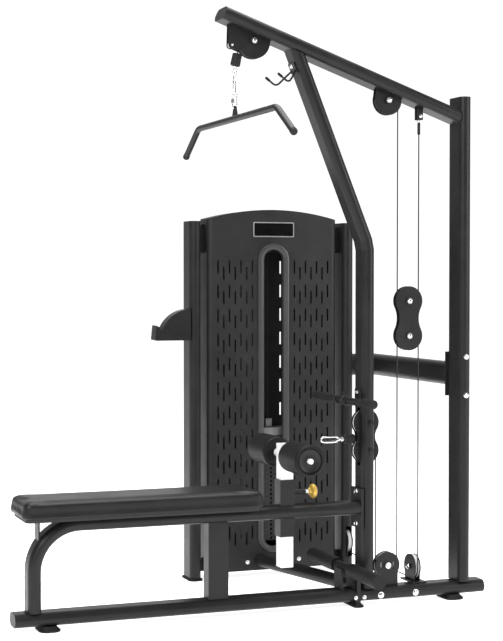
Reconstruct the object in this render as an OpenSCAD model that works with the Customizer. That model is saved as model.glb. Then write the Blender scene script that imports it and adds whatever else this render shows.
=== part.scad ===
// Lat pulldown and low row machine with a selectorised weight tower.
// Millimetres. +X runs from the bench end to the rear post, +Y from the bench to the tower.
// The origin is under the middle of the machine, on the floor.

/* [Main frame] */
// Length of the floor rail under the bench, mast and rear post, over its end caps
rail_len = 1910; // [1850:10:2000]
// Height of the front top edge of the boom
boom_top = 2303; // [2250:1:2350]
// Slope of the boom down to the rear post, in degrees
boom_slope = 19.5; // [18:0.5:21]
// Lean of the mast towards the bench above its bend, in degrees
mast_lean = 22.1; // [20:0.1:24]
// Thickness of the flat oval tubes
tube_t = 50; // [45:1:55]
// Width of the oval tubes of the rails and the mast
tube_w = 100; // [90:2:110]
// Width of the oval tubes of the boom, the rear post and the tower
wide_tube_w = 120; // [110:2:130]
// Wall of the tubes
wall = 3; // [2:0.5:4]

/* [Bench] */
// Height of the top of the seat pad
seat_h = 478; // [460:1:500]
// Thickness of the seat pad with its board
pad_t = 68; // [60:1:80]
// Length of the seat pad
pad_len = 927; // [880:1:960]
// Width of the seat pad
pad_w = 260; // [240:2:300]
// Height of the axis of the knee rollers
knee_h = 606; // [590:1:650]
// Diameter of the knee rollers
roller_d = 120; // [100:2:130]
// Length of one knee roller
roller_len = 184; // [160:2:200]

/* [Pulleys and cables] */
// Pitch radius of the standard cable wheels
wheel_r = 46.5; // [44:0.5:50]
// Pitch radius of the front boom wheel
front_wheel_r = 59; // [56:0.5:62]
// Width of a cable wheel
wheel_w = 14; // [12:1:16]
// Diameter of the coated steel cable
cable_d = 5; // [4:0.5:6]

/* [Tower] */
// Distance between the two tower posts
tower_span = 705; // [680:1:720]
// Height of the tower posts with their caps
tower_h = 1527; // [1500:1:1560]
// Crown of the arched top cover
arch_h = 1579; // [1560:1:1600]
// Weight plates in the stack
plate_count = 24; // [12:1:24]
// Plates above the selector pin, which are lifted
lifted_count = 6; // [1:1:9]
// Thickness of one weight plate
plate_t = 19; // [16:1:20]
// Rows of ventilation slots in the covers
slot_rows = 12; // [8:1:12]

/* [Bars] */
// Length of the straight middle of the lat bar
lat_straight = 860; // [800:10:900]
// Overall width of the lat bar
lat_width = 1200; // [1150:10:1250]
// Diameter of the lat bar
bar_d = 25; // [22:1:28]
// Length of the row bar that hangs on the mast
row_bar_len = 560; // [560:10:680]

/* [Hidden] */
$fn = 48;

paint = [0.10, 0.10, 0.105];
trim = [0.05, 0.05, 0.05];
chrome = [0.80, 0.80, 0.82];
eps = 0.01;

// Depths, measured from the vertical plane that the bench, mast, boom and rear post share
tower_y = 730;
tower_back = tower_y + wide_tube_w / 2 + tube_t;
plane_y = (lat_width / 2 - tower_back) / 2;

// Stations along X
rail_x1 = rail_len / 2;
joint_x = 400;
leg_x = -880;
joint_h = 98;
seat_post_x = -173;
knee_x = 108;
mast_x = 445;
post_x = 863;
foot_x = [-825, joint_x, 824];
handle_x = 355;
handle_z = 811;
footrest_x = 361;
footrest_z = 150;
tower_x = 327;

// Heights
rail_z0 = 20;
rail_z1 = rail_z0 + tube_t;
seat_tube_z1 = seat_h - pad_t;
seat_tube_z = seat_tube_z1 - tube_t / 2;
leg_bend_r = 170;
mast_bend_r = 200;
mast_bend_z = 1376;
post_top = 2000;
pin_z = 458;
pad_x = -15 - pad_len / 2;
roller_y0 = 72;
roller_y1 = roller_y0 + roller_len;

// Boom: local x runs down its length from the front top edge
boom_x0 = -142;
post_face = post_x - tube_t / 2;
boom_len = (post_face - boom_x0) / cos(boom_slope) + tube_t * sin(boom_slope);

// Height of the underside of the boom above x
function underside(x) = boom_top - tan(boom_slope) * (x - boom_x0) - tube_t / cos(boom_slope);

// Wheels
rim_over = 3.5;
groove_r = cable_d / 2 + 0.5;
axle_d = 12;
plate_gap = wheel_w / 2 + 2;
pulley_plate_t = 4;
front_plate_r = 67;
lobe_r = 57;
guide_c = [-112, 2165];
front_c = [-25, 2184];
rear_c = [540, 1982];
block_c = [633, 1195];
block_pitch = 138;
row_c = [447.5, 609];
row_pitch = 110;
low_c = [540.5, 150];
turn_z = 128;
run_x = block_c[0] + wheel_r;
top_wheel_z = 1452;
top_wheel_x = [327 + wheel_r, run_x - wheel_r];
anchor_z = 1925;

// Lat bar and its hanger
lat_x = -96;
cable_x = front_c[0] - front_wheel_r;
stopper_top = 2134;
stopper_bottom = 2088;
lat_z = 1889;
eye_z = 1926;

// Row cable end
row_exit_z = row_c[1] + wheel_r;

// Tower
post_l = tower_x - tower_span / 2;
post_r = tower_x + tower_span / 2;
cover_w = 594;
cover_front = 678;
cover_rear = 802;
cover_z0 = 28;
cover_z1 = 1399;
sheet = 2;
window_w = 90;
window_z0 = 128;
window_z1 = 1408;
slot_pitch = 26;
slot_first = 97;
slot_step = 103.5;
slot_len = 56;
slot_w = 7;
slot_top = 1361;
slot_shift = 27;
plate_w = 250;
stack_y0 = 706;
stack_y1 = 790;
stack_y = (stack_y0 + stack_y1) / 2;
stack_z0 = 150;
stack_z1 = stack_z0 + plate_count * plate_t;
lift_z0 = stack_z1 - lifted_count * plate_t;
guide_dx = 85;
guide_d = 20;
rod_d = 24;
rod_hole_d = 28;
pin_d = 9;
head_h = 32;

// ---------------------------------------------------------------- helpers

module in_plane() { translate([0, plane_y, 0]) children(); }

// Flat oval, sx by sy, with half-round ends along the longer side
module oval(sx, sy) {
    r = min(sx, sy) / 2;
    square(sx > sy ? [sx - 2 * r, sy] : [sx, sy - 2 * r], center = true);
    for (s = [-1, 1])
        translate(sx > sy ? [s * (sx / 2 - r), 0] : [0, s * (sy / 2 - r)]) circle(r);
}

module oval_ring(sx, sy, t = wall) {
    difference() {
        oval(sx, sy);
        oval(sx - 2 * t, sy - 2 * t);
    }
}

module upright(sx, sy, z0, z1) {
    translate([0, 0, z0]) linear_extrude(z1 - z0) oval_ring(sx, sy);
}

// Tube along X: its section is sy wide and sz tall
module lengthwise(x0, x1, sy, sz) {
    translate([x0, 0, 0]) rotate([90, 0, 90]) linear_extrude(x1 - x0) oval_ring(sy, sz);
}

// Straight length from p to q in the XZ plane, its ends mitred at angles a0 and a1, a hair short
// of the next length. The child is its section, drawn in Y and across the length.
module mitred(p, q, a0, a1) {
    v = q - p;
    gap = 0.03;
    difference() {
        translate([p[0], 0, p[1]]) rotate([0, -atan2(v[1], v[0]), 0]) translate([-60, 0, 0])
            rotate([90, 0, 90]) linear_extrude(norm(v) + 120) children();
        translate([p[0], 0, p[1]]) rotate([0, -a0, 0])
            translate([gap - 300, -100, -200]) cube([300, 200, 400]);
        translate([q[0], 0, q[1]]) rotate([0, -a1, 0])
            translate([-gap, -100, -200]) cube([300, 200, 400]);
    }
}

module rod_y(d, y0, y1) {
    translate([0, y0, 0]) rotate([-90, 0, 0]) cylinder(d = d, h = y1 - y0);
}

module rod_x(d, x0, x1) {
    translate([x0, 0, 0]) rotate([0, 90, 0]) cylinder(d = d, h = x1 - x0);
}

// Round bar from point a to point b
module bar(a, b, d) {
    v = b - a;
    translate(a)
        rotate([0, acos(v[2] / norm(v)), atan2(v[1], v[0])])
            cylinder(d = d, h = norm(v));
}

// Bent round bar through points, with a ball at each bend and end
module wire(points, d) {
    for (i = [0 : len(points) - 2]) bar(points[i], points[i + 1], d);
    for (p = points) translate(p) sphere(d = d + 0.02, $fn = 32);
}

// Hexagon bolt head with a washer, its face towards -Y at the origin
module bolt_head_y(d = 18) {
    translate([0, -2, 0]) rod_y(d + 6, 0, 2);
    translate([0, -9, 0]) rotate([-90, 0, 0]) cylinder(d = d, h = 7, $fn = 6);
}

module bolt_head_x(d = 18) { rotate([0, 0, -90]) bolt_head_y(d); }

// Grooved cable wheel on a Y axis
module wheel(pitch_r) {
    r = pitch_r + rim_over;
    floor_r = pitch_r - groove_r;
    hw = wheel_w / 2;
    rotate([90, 0, 0]) rotate_extrude()
        polygon([[axle_d / 2 + 0.05, -hw], [18, -hw], [20, -hw + 3], [floor_r - 8, -hw + 3],
            [floor_r - 5, -hw], [r - 1, -hw], [r, -hw + 1], [floor_r, -groove_r],
            [floor_r, groove_r], [r, hw - 1], [r - 1, hw], [floor_r - 5, hw],
            [floor_r - 8, hw - 3], [20, hw - 3], [18, hw], [axle_d / 2 + 0.05, hw]]);
}

// Cable arc in the XZ plane about a wheel centre, angles from +X towards +Z
module cable_arc(c, r, a0, a1) {
    translate([c[0], 0, c[1]]) rotate([90, 0, 0]) rotate([0, 0, a0])
        rotate_extrude(angle = a1 - a0) translate([r, 0]) circle(d = cable_d, $fn = 24);
}

module cable_z(x, z0, z1) {
    translate([x, 0, z0]) cylinder(d = cable_d, h = z1 - z0, $fn = 24);
}

// Pair of upright plates either side of the wheel plane, from a 2D outline in XZ
module plate_pair(gap = plate_gap, t = pulley_plate_t) {
    for (s = [-1, 1])
        translate([0, s > 0 ? gap + t : -gap, 0]) rotate([90, 0, 0]) linear_extrude(t) children();
}

module axle(c) {
    half = plate_gap + pulley_plate_t;
    translate([c[0], 0, c[1]]) rod_y(axle_d, -half, half);
}

module at_xz(c) { translate([c[0], 0, c[1]]) children(); }

// ---------------------------------------------------------------- frame

module leg_bend() {
    translate([leg_x + leg_bend_r, 0, seat_tube_z - leg_bend_r]) rotate([90, 0, 0])
        rotate([0, 0, 90]) rotate_extrude(angle = 90)
            translate([leg_bend_r, 0]) oval_ring(tube_t, tube_w);
}

module bench_frame() {
    flange_x = mast_x - tube_t / 2;
    sleeve = 60;
    color(paint) in_plane() {
        translate([leg_x, 0, 0]) upright(tube_t, tube_w, rail_z1, seat_tube_z - leg_bend_r);
        leg_bend();
        difference() {
            translate([0, 0, seat_tube_z])
                lengthwise(leg_x + leg_bend_r, flange_x - 10, tube_w, tube_t);
            translate([knee_x, 0, seat_tube_z]) cube([sleeve, sleeve, tube_t + 2], center = true);
        }
        // Flange bolted to the mast
        translate([flange_x - 10, -tube_w / 2, 306]) cube([10, tube_w, 157]);
        // Small bracket under the end of the seat
        translate([leg_x + 15, -30, 325]) cube([6, 60, seat_tube_z1 - 325]);
    }
}

module bench_rail() {
    post = [80, 57];
    color(paint) in_plane() {
        translate([0, 0, rail_z0 + tube_t / 2])
            lengthwise(-rail_x1 + 4, joint_x - 8, tube_w, tube_t);
        translate([joint_x - 8, -tube_w / 2, rail_z0]) cube([8, tube_w, joint_h]);
        // Seat post between the floor rail and the seat tube
        translate([seat_post_x, 0, rail_z1]) linear_extrude(seat_tube_z1 - tube_t - rail_z1)
            difference() {
                square(post, center = true);
                square(post - 2 * [wall, wall], center = true);
            }
    }
}

module main_rail() {
    color(paint) in_plane() {
        translate([joint_x, -tube_w / 2, rail_z0]) cube([8, tube_w, joint_h]);
        translate([0, 0, rail_z0 + tube_t / 2])
            lengthwise(joint_x + 8, rail_x1 - 4, tube_w, tube_t);
    }
}

// Everything above the underside of the boom
module above_boom() {
    translate([boom_x0, 0, boom_top]) rotate([0, boom_slope, 0])
        translate([-200, -200, -tube_t]) cube([boom_len + 400, 400, 400]);
}

module mast() {
    slot = 2 * (plate_gap + pulley_plate_t);
    // The bend in three steps round its centre
    up = 90;
    half_bend = mast_bend_r / cos(mast_lean / 4);
    centre = [mast_x - mast_bend_r, mast_bend_z];
    p1 = centre + half_bend * [cos(mast_lean / 4), sin(mast_lean / 4)];
    p2 = centre + half_bend * [cos(mast_lean * 3 / 4), sin(mast_lean * 3 / 4)];
    p3 = p2 + 900 * [-sin(mast_lean), cos(mast_lean)];
    foot = [mast_x, rail_z1];
    color(paint) in_plane() difference() {
        union() {
            mitred(foot, p1, up, up + mast_lean / 4) oval_ring(tube_w + 4, tube_t);
            mitred(p1, p2, up + mast_lean / 4, up + mast_lean * 3 / 4)
                oval_ring(tube_w + 4, tube_t);
            mitred(p2, p3, up + mast_lean * 3 / 4, up + mast_lean) oval_ring(tube_w + 4, tube_t);
        }
        above_boom();
        // Slot for the low row wheels
        translate([mast_x - tube_t, -slot / 2, row_c[1] - 58])
            cube([2 * tube_t, slot, row_pitch + 116]);
    }
}

module in_boom() { translate([boom_x0, 0, boom_top]) rotate([0, boom_slope, 0]) children(); }

module boom() {
    slot = 2 * (plate_gap + pulley_plate_t);
    color(paint) in_plane() difference() {
        in_boom() translate([0, 0, -tube_t / 2]) lengthwise(0, boom_len, wide_tube_w, tube_t);
        translate([post_face, -wide_tube_w, 1700]) cube([200, 2 * wide_tube_w, 500]);
        // Slots in the underside for the front and rear wheels and their plates
        at_xz(front_c) rod_y(2 * front_plate_r + 2, -slot / 2, slot / 2);
        at_xz(rear_c) rod_y(2 * lobe_r + 2, -slot / 2, slot / 2);
    }
}

module rear_post() {
    color(paint) in_plane() translate([post_x, 0, 0])
        upright(tube_t, wide_tube_w, rail_z1, post_top);
}

module rear_brace() {
    z = 899;
    h = tube_w - 4;
    y0 = wide_tube_w / 2;
    y1 = tower_y + wide_tube_w / 2;
    color(paint) in_plane() {
        // Flange bolted to the far side of the rear post
        translate([post_x - 28, y0, z - 89]) difference() {
            cube([56, 8, 178]);
            for (dz = [8, 162]) translate([28, 0, dz]) rod_y(12, -1, 9);
        }
        difference() {
            translate([post_x, 0, z]) rotate([-90, 0, 0]) translate([0, 0, y0 + 8])
                linear_extrude(y1 - y0 - 8 + tube_t) oval_ring(tube_t, h);
            translate([post_x - tube_t, y1 - eps, z - h])
                rotate([0, 0, 45]) cube([200, 200, 2 * h]);
        }
        difference() {
            translate([0, y1 + tube_t / 2, z])
                lengthwise_upright(post_r - tube_t / 2, post_x + tube_t / 2, h);
            translate([post_x - tube_t, y1 - eps, z - h]) rotate([0, 0, 45])
                translate([0, -200, 0]) cube([300, 200, 2 * h]);
        }
    }
}

// Tube along X whose flat side stands upright
module lengthwise_upright(x0, x1, h) {
    translate([x0, 0, 0]) rotate([90, 0, 90]) linear_extrude(x1 - x0) oval_ring(tube_t, h);
}

module base_link_tube() {
    a = [tower_x - 56, cover_front - 14];
    b = [mast_x - 30, tube_w / 2 + 12];
    v = b - a;
    color(paint) in_plane() difference() {
        translate([a[0], a[1], 70]) rotate([0, 0, atan2(v[1], v[0])])
            translate([-60, 0, 0]) lengthwise(0, norm(v) + 100, 60, tube_t);
        // Cut against the tower's front, the floor rail, its joint flanges and the mast
        translate([-100, cover_front, 0]) cube([800, 200, 200]);
        translate([0, -200, 0]) cube([900, 200, 200]);
        translate([0, 0, rail_z0 + tube_t / 2]) rotate([90, 0, 90]) linear_extrude(900)
            oval(tube_w, tube_t);
        translate([joint_x - 8, -tube_w / 2, rail_z0]) cube([16, tube_w, joint_h]);
        translate([mast_x, 0, rail_z1 - 1]) linear_extrude(100) oval(tube_t, tube_w + 4);
        translate([mast_x - 30, -100, rail_z0]) cube([200, 150, 200]);
    }
}

module tower_frame() {
    slot = 2 * (plate_gap + pulley_plate_t);
    header = [44, 112];
    z_header = top_wheel_z - header[1] / 2;
    inner_l = post_l + tube_t / 2;
    inner_r = post_r - tube_t / 2;
    color(paint) in_plane() {
        translate([post_l, tower_y, 0]) upright(tube_t, wide_tube_w, 12, tower_h - 6);
        difference() {
            translate([post_r, tower_y, 0]) upright(tube_t, wide_tube_w, 12, tower_h - 6);
            // Openings for the low wheel, and for the top wheel in the header
            translate([run_x - slot / 2, tower_y - 80, turn_z - 66]) cube([slot, 102, 132]);
            translate([inner_r - 10, stack_y - 10, top_wheel_z - 54]) cube([14, 20, 108]);
        }
        // Header box round the top wheels
        difference() {
            translate([inner_l, stack_y, z_header]) rotate([90, 0, 90])
                linear_extrude(inner_r - inner_l) translate([0, header[1] / 2]) difference() {
                    square(header, center = true);
                    square(header - 2 * [wall, wall], center = true);
                }
            translate([tower_x, stack_y, z_header - 1]) cylinder(d = 16, h = wall + 2);
        }
        for (x = top_wheel_x) translate([x, stack_y, top_wheel_z]) rod_y(axle_d, -24, 24);
        // Base bar under the stack, narrower where it leaves the covers
        translate([inner_l, tower_y, cover_z0 + 2]) cube([inner_r - inner_l, 34, 50]);
        translate([tower_x - 280, tower_y - 30, cover_z0 + 2]) cube([560, 90, 50]);
    }
}

// Rounded rectangle with corner radius r
module soft_rect(size, r) {
    square([size[0], size[1] - 2 * r], center = true);
    square([size[0] - 2 * r, size[1]], center = true);
    for (sx = [-1, 1], sy = [-1, 1])
        translate([sx * (size[0] / 2 - r), sy * (size[1] / 2 - r)]) circle(r);
}

// Ventilation slots of one panel, drawn in X and Z about the tower's middle
module slots(shift) {
    for (side = [-1, 1], col = [0 : 6], row = [0 : slot_rows - 1])
        translate([shift + side * (slot_first + col * slot_pitch),
            slot_top - slot_len / 2 - row * slot_step - (col % 2) * slot_shift])
            oval(slot_w, slot_len);
}

// Perforated steel panel with rounded upright edges turned towards +Y
module panel(edge_r, return_len, window, shift = 0) {
    flat_w = cover_w - 2 * edge_r;
    h = cover_z1 - cover_z0;
    translate([0, sheet, 0]) rotate([90, 0, 0]) linear_extrude(sheet) difference() {
        translate([-flat_w / 2, cover_z0]) square([flat_w, h]);
        intersection() {
            translate([-flat_w / 2, cover_z0]) square([flat_w, h]);
            slots(shift);
        }
        if (window) translate([0, (window_z0 + window_z1) / 2])
            oval(window_w, window_z1 - window_z0);
    }
    for (s = [0, 1]) mirror([s, 0, 0]) translate([flat_w / 2, edge_r, cover_z0]) {
        rotate([0, 0, -90]) rotate_extrude(angle = 90)
            translate([edge_r - sheet, 0]) square([sheet, h]);
        translate([edge_r - sheet, 0, 0]) cube([sheet, return_len, h]);
    }
}

module front_cover() {
    depth = cover_rear - cover_front;
    color(paint) in_plane() translate([tower_x, cover_front, 0]) {
        panel(24, 23, true);
        // Sides reach the rear cover between the base bar and the header
        for (s = [0, 1]) mirror([s, 0, 0]) translate([cover_w / 2 - sheet, 46, cover_z0 + 56])
            cube([sheet, depth - 46 - 31.4, cover_z1 - cover_z0 - 61]);
    }
}

module rear_cover() {
    color(paint) in_plane() translate([tower_x, cover_rear, 0]) mirror([0, 1, 0])
        panel(10, 21, false, -17.5);
}

// Front outline of the top cover, shrunk by grow, its arch drawn in short straight steps
module arch(grow) {
    half = cover_w / 2;
    rise = arch_h - 1538;
    r = (half * half + rise * rise) / (2 * rise);
    w = half - grow;
    steps = 12;
    polygon([[-w, cover_z1], [w, cover_z1], for (i = [steps : -1 : -steps])
        [w * i / steps, arch_h - r + sqrt((r - grow) * (r - grow) - pow(w * i / steps, 2))]]);
}

module top_cover() {
    depth = cover_rear - cover_front;
    color(paint) in_plane() translate([tower_x, cover_front, 0]) difference() {
        intersection() {
            translate([0, depth, 0]) rotate([90, 0, 0]) linear_extrude(depth) arch(0);
            translate([0, depth / 2, cover_z1 - 1]) linear_extrude(300)
                soft_rect([cover_w, depth], 24);
        }
        intersection() {
            translate([0, depth, -1]) rotate([90, 0, 0]) linear_extrude(depth) arch(sheet);
            translate([0, depth / 2, cover_z1 - 2]) linear_extrude(300)
                soft_rect([cover_w - 2 * sheet, depth - 2 * sheet], 24 - sheet);
        }
        // The window's round top and the header pass into the cover
        translate([0, -1, (window_z0 + window_z1) / 2]) rotate([-90, 0, 0]) linear_extrude(5)
            oval(window_w, window_z1 - window_z0);
        translate([-cover_w, depth - 54 - 24, cover_z1 - 10]) cube([2 * cover_w, 48, 126]);
    }
}

module window_bezel() {
    rim = 27;
    color([0.36, 0.36, 0.37]) in_plane() translate([tower_x, cover_front, 0])
        rotate([90, 0, 0]) linear_extrude(8) translate([0, (window_z0 + window_z1) / 2])
            difference() {
                oval(window_w + 2 * rim, window_z1 - window_z0 + 2 * rim);
                oval(window_w, window_z1 - window_z0);
            }
}

module badge_plate() {
    color(trim) in_plane() translate([tower_x, cover_front, 1494]) rotate([90, 0, 0])
        linear_extrude(4) soft_rect([188, 64], 5);
}

// ---------------------------------------------------------------- caps, feet and fasteners

module tube_caps() {
    cap_t = 4;
    color(trim) in_plane() {
        for (s = [-1, 1]) translate([s * (rail_x1 - cap_t / 2), 0, rail_z0 + tube_t / 2])
            rotate([90, 0, 90]) translate([0, 0, -cap_t / 2]) linear_extrude(cap_t)
                oval(tube_w, tube_t);
        translate([post_x, 0, post_top]) linear_extrude(6) oval(tube_t, wide_tube_w);
        in_boom() translate([-3, 0, -tube_t / 2]) rotate([90, 0, 90]) linear_extrude(3)
            oval(wide_tube_w, tube_t);
        for (x = [post_l, post_r]) translate([x, tower_y, tower_h - 6]) linear_extrude(6)
            oval(tube_t, wide_tube_w);
    }
}

module floor_feet() {
    color(trim) in_plane() {
        for (x = foot_x) translate([x, 0, 0]) linear_extrude(rail_z0)
            oval(x == joint_x ? 36 : 72, 116);
        for (x = [post_l, post_r]) translate([x, tower_y, 0]) linear_extrude(12)
            oval(62, 134);
    }
}

module frame_bolts() {
    flange_x = mast_x - tube_t / 2 - 10;
    color(chrome) in_plane() {
        for (z = [818, 972]) translate([post_x, -wide_tube_w / 2, z]) bolt_head_y();
        for (z = [323, 447]) translate([flange_x, 0, z]) bolt_head_x();
        for (x = [388, 424]) translate([x, -tube_w / 2, 38]) bolt_head_y(12);
        for (x = [495, 646]) translate([x, -tube_w / 2, 42]) bolt_head_y(20);
        for (s = [-1, 1]) translate([tower_x + s * 119, cover_front, 66]) bolt_head_y(14);
    }
}

// ---------------------------------------------------------------- seat and knee hold-down

module seat_board() {
    color([0.25, 0.18, 0.12]) in_plane() translate([pad_x, 0, seat_tube_z1])
        linear_extrude(14) soft_rect([pad_len - 30, pad_w - 30], 24);
}

module seat_pad() {
    color(trim) in_plane() translate([pad_x, 0, seat_tube_z1 + 14])
        linear_extrude(pad_t - 14) soft_rect([pad_len, pad_w], 34);
}

module knee_sleeve() {
    outer = 60;
    inner = 51;
    z0 = 290;
    z1 = 510;
    color(paint) in_plane() {
        difference() {
            translate([knee_x, 0, z0]) linear_extrude(z1 - z0) difference() {
                square(outer, center = true);
                square(inner, center = true);
            }
            translate([0, 0, pin_z]) rod_x(pin_d + 0.1, knee_x, knee_x + outer);
        }
        // Barrel of the pop pin
        translate([0, 0, pin_z]) difference() {
            rod_x(20, knee_x + outer / 2, knee_x + 85);
            rod_x(pin_d + 0.1, knee_x, knee_x + 90);
        }
    }
}

module knee_post() {
    side = 50;
    color(chrome) in_plane() difference() {
        union() {
            translate([knee_x - side / 2, -side / 2, 171]) cube([side, side, knee_h + 42 - 171]);
            translate([knee_x, 0, knee_h]) {
                rod_y(20, -roller_y1 - 6, roller_y1 + 6);
                for (s = [-1, 1]) scale([1, s, 1]) rod_y(36, side / 2, roller_y0 - 1);
            }
        }
        for (i = [-9 : 2]) translate([0, 0, pin_z + i * 25])
            rod_x(pin_d + 1, knee_x + side / 2 - 12, knee_x + side);
    }
}

module roller() {
    rotate([-90, 0, 0]) rotate_extrude()
        polygon([[10.05, 0], [40, 0], [40, 10], [46, 0], [52, 0], [57, 2], [60, 7],
            [60, roller_len - 7], [57, roller_len - 2], [52, roller_len], [46, roller_len],
            [40, roller_len - 10], [38, roller_len - 10], [10.05, roller_len - 10]]);
}

module near_roller() {
    color(trim) in_plane() translate([knee_x, -roller_y0, knee_h]) mirror([0, 1, 0]) roller();
}

module far_roller() {
    color(trim) in_plane() translate([knee_x, roller_y0, knee_h]) roller();
}

module pop_pin() {
    x0 = knee_x + 25.5;
    knob_x = knee_x + 97;
    color([0.85, 0.65, 0.15]) in_plane() translate([0, 0, pin_z]) {
        rod_x(pin_d, x0, knob_x + 4);
        rod_x(15, knee_x + 85.5, knob_x + 1);
        translate([knob_x, 0, 0]) rotate([0, 90, 0]) rotate_extrude()
            polygon([[0, 0], [12, 0], [15, 6], [26, 12], [28.5, 18], [28.5, 22], [25, 28],
                [16, 33], [0, 35]]);
    }
}

// ---------------------------------------------------------------- pulleys

// Peanut outline about two wheel centres, pitch apart along the second axis
module peanut(pitch, r, waist) {
    h = pitch / 2;
    side_r = (waist * waist + h * h - r * r) / (2 * (r - waist));
    reach = waist + side_r;
    f = r / (r + side_r);
    translate([0, h]) {
        difference() {
            square([2 * reach * f, 2 * (h - h * f)], center = true);
            for (s = [-1, 1]) translate([s * reach, 0]) circle(side_r, $fn = 96);
        }
        for (s = [-1, 1]) translate([0, s * h]) circle(r, $fn = 96);
    }
}

module boom_pulley_plates() {
    color(paint) in_plane() {
        plate_pair() {
            translate(front_c) circle(front_plate_r, $fn = 96);
            translate(guide_c) circle(14);
            polygon([guide_c + [-14, 0], [-124, underside(-124)], [-75, underside(-75)],
                front_c + [-20, 0], front_c + [-50, -44], guide_c + [4, -13.4]]);
        }
        plate_pair() {
            translate(rear_c) circle(lobe_r, $fn = 96);
            polygon([rear_c + [-lobe_r, 0], rear_c + [lobe_r, 0],
                [rear_c[0] + lobe_r, underside(rear_c[0] + lobe_r)],
                [rear_c[0] - 51, underside(rear_c[0] - 51)]]);
        }
        for (c = [front_c, rear_c, guide_c]) axle(c);
        for (c = [front_c, rear_c]) at_xz(c) for (s = [0, 1]) mirror([0, s, 0])
            rod_y(22, plate_gap + pulley_plate_t, plate_gap + pulley_plate_t + 8);
        // Clevis under the boom for the fixed end of the lat cable
        difference() {
            for (s = [-1, 1]) translate([run_x - 13, s * 9 - 2, anchor_z - 14]) cube([26, 4, 70]);
            above_boom();
        }
        at_xz([run_x, anchor_z]) rod_y(8, -14, 14);
    }
}

module front_wheel() { color([0.7, 0.7, 0.7]) in_plane() at_xz(front_c) wheel(front_wheel_r); }
module rear_wheel() { color([0.7, 0.7, 0.7]) in_plane() at_xz(rear_c) wheel(wheel_r); }

module guide_roller() {
    color([0.7, 0.7, 0.7]) in_plane() at_xz(guide_c) rotate([90, 0, 0]) difference() {
        cylinder(d = 22, h = wheel_w, center = true);
        cylinder(r = axle_d / 2 + 0.05, h = 2 * wheel_w, center = true);
    }
}

module block_plates() {
    color(paint) in_plane() {
        plate_pair() translate(block_c - [0, block_pitch]) peanut(block_pitch, lobe_r + 1, 42);
        for (z = [0, block_pitch]) {
            axle(block_c - [0, z]);
            at_xz(block_c - [0, z]) for (s = [0, 1]) mirror([0, s, 0])
                rod_y(20, plate_gap + pulley_plate_t, plate_gap + pulley_plate_t + 6);
        }
    }
}

module block_upper_wheel() {
    color([0.7, 0.7, 0.7]) in_plane() at_xz(block_c) wheel(wheel_r);
}

module block_lower_wheel() {
    color([0.7, 0.7, 0.7]) in_plane() at_xz(block_c - [0, block_pitch]) wheel(wheel_r);
}

module row_pulley_plates() {
    half = (tube_w + 4) / 2;
    color(paint) in_plane() {
        plate_pair() translate(row_c) peanut(row_pitch, 53.5, 38);
        for (z = [0, row_pitch]) {
            axle(row_c + [0, z]);
            // Heads of the axle bolts outside the mast
            at_xz(row_c + [0, z]) for (s = [0, 1]) mirror([0, s, 0]) rod_y(20, half, half + 5);
        }
    }
}

module row_upper_wheel() {
    color([0.7, 0.7, 0.7]) in_plane() at_xz(row_c + [0, row_pitch]) wheel(wheel_r);
}

module row_lower_wheel() { color([0.7, 0.7, 0.7]) in_plane() at_xz(row_c) wheel(wheel_r); }

// Outline of an upright wheel plate that stands on a level surface
module stand_outline(r, z_floor) {
    circle(r, $fn = 96);
    translate([-r + 8, z_floor]) square([2 * r - 16, -z_floor]);
}

module floor_pulley_plates() {
    h = low_c[1] - rail_z1;
    half = plate_gap + pulley_plate_t;
    turn_y = wheel_r;
    low_y = stack_y - wheel_r;
    color(paint) in_plane() {
        plate_pair() translate(low_c) difference() {
            stand_outline(53, -h);
            for (s = [-1, 1]) translate([s * 27, 0]) oval(8, 28);
        }
        axle(low_c);
        at_xz(low_c) for (s = [0, 1]) mirror([0, s, 0])
            rod_y(20, plate_gap + pulley_plate_t, plate_gap + pulley_plate_t + 7);
        for (y = [turn_y, low_y]) translate([run_x, y, turn_z]) rotate([0, 0, 90]) {
            plate_pair() stand_outline(50, y == turn_y ? rail_z1 - turn_z : -62);
            rod_y(axle_d, -half, half);
            for (s = [0, 1]) mirror([0, s, 0]) rod_y(20, half, half + (y == low_y ? 0.5 : 7));
        }
        // Foot plate under the turn pulley, reaching past the rail's side
        translate([run_x - 30, -20, rail_z1]) cube([60, 116, 6]);
    }
}

module low_wheel() { color([0.7, 0.7, 0.7]) in_plane() at_xz(low_c) wheel(wheel_r); }

module wheel_across(y, z) {
    color([0.7, 0.7, 0.7]) in_plane() translate([run_x, y, z]) rotate([0, 0, 90]) wheel(wheel_r);
}

module turn_wheel() { wheel_across(wheel_r, turn_z); }
module tower_low_wheel() { wheel_across(stack_y - wheel_r, turn_z); }

module top_wheel(x) {
    color([0.7, 0.7, 0.7]) in_plane() translate([x, stack_y, top_wheel_z]) wheel(wheel_r);
}

module tower_right_wheel() { top_wheel(top_wheel_x[1]); }
module tower_centre_wheel() { top_wheel(top_wheel_x[0]); }

// ---------------------------------------------------------------- bars, hooks and footrest

module lat_stopper() {
    color(trim) in_plane()
        bar([cable_x - 2, 0, stopper_top], [lat_x, 0, stopper_bottom], 38);
}

// Closed oval link in the XZ plane: w wide, h tall, of wire d
module link(w, h, d) {
    r = (w - d) / 2;
    s = h / 2 - r - d / 2;
    for (k = [0, 1]) mirror([0, 0, k]) translate([0, 0, s]) rotate([90, 0, 0])
        rotate_extrude(angle = 180) translate([r, 0]) circle(d = d, $fn = 24);
    for (x = [-r, r]) translate([x, 0, -s]) cylinder(d = d, h = 2 * s, $fn = 24);
}

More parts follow.
